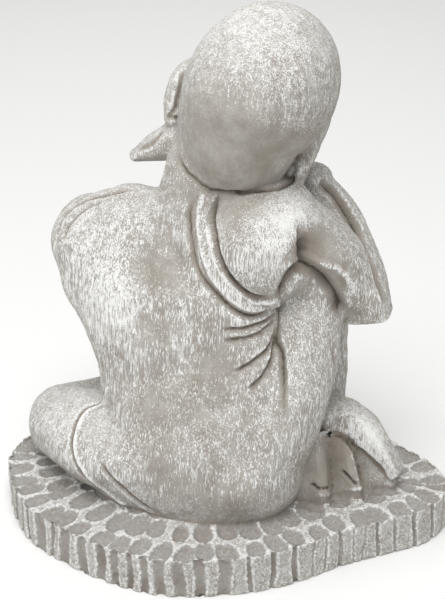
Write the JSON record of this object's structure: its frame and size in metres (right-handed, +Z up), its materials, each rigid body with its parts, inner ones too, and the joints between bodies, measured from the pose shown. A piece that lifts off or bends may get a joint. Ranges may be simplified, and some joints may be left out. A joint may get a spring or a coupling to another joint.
{
  "type": "garden statue",
  "caption": "Cast-stone seated buddha at rest, robed and bald, head laid on folded hands over a raised knee, on a gouged oval plinth; a garden ornament that stands by its own weight.",
  "frame": {"origin": "middle of the plinth's underside", "axes": "+Z up, -Y towards the figure's front, -X towards its right side, where the knee is raised"},
  "size_m": [0.4008, 0.2691, 0.4697],
  "materials": {
    "cast_stone": "dry matt grey cast stone with brushed white highlights"
  },
  "bodies": {
    "root": {"statue": "cast_stone"}
  },
  "joints": []
}
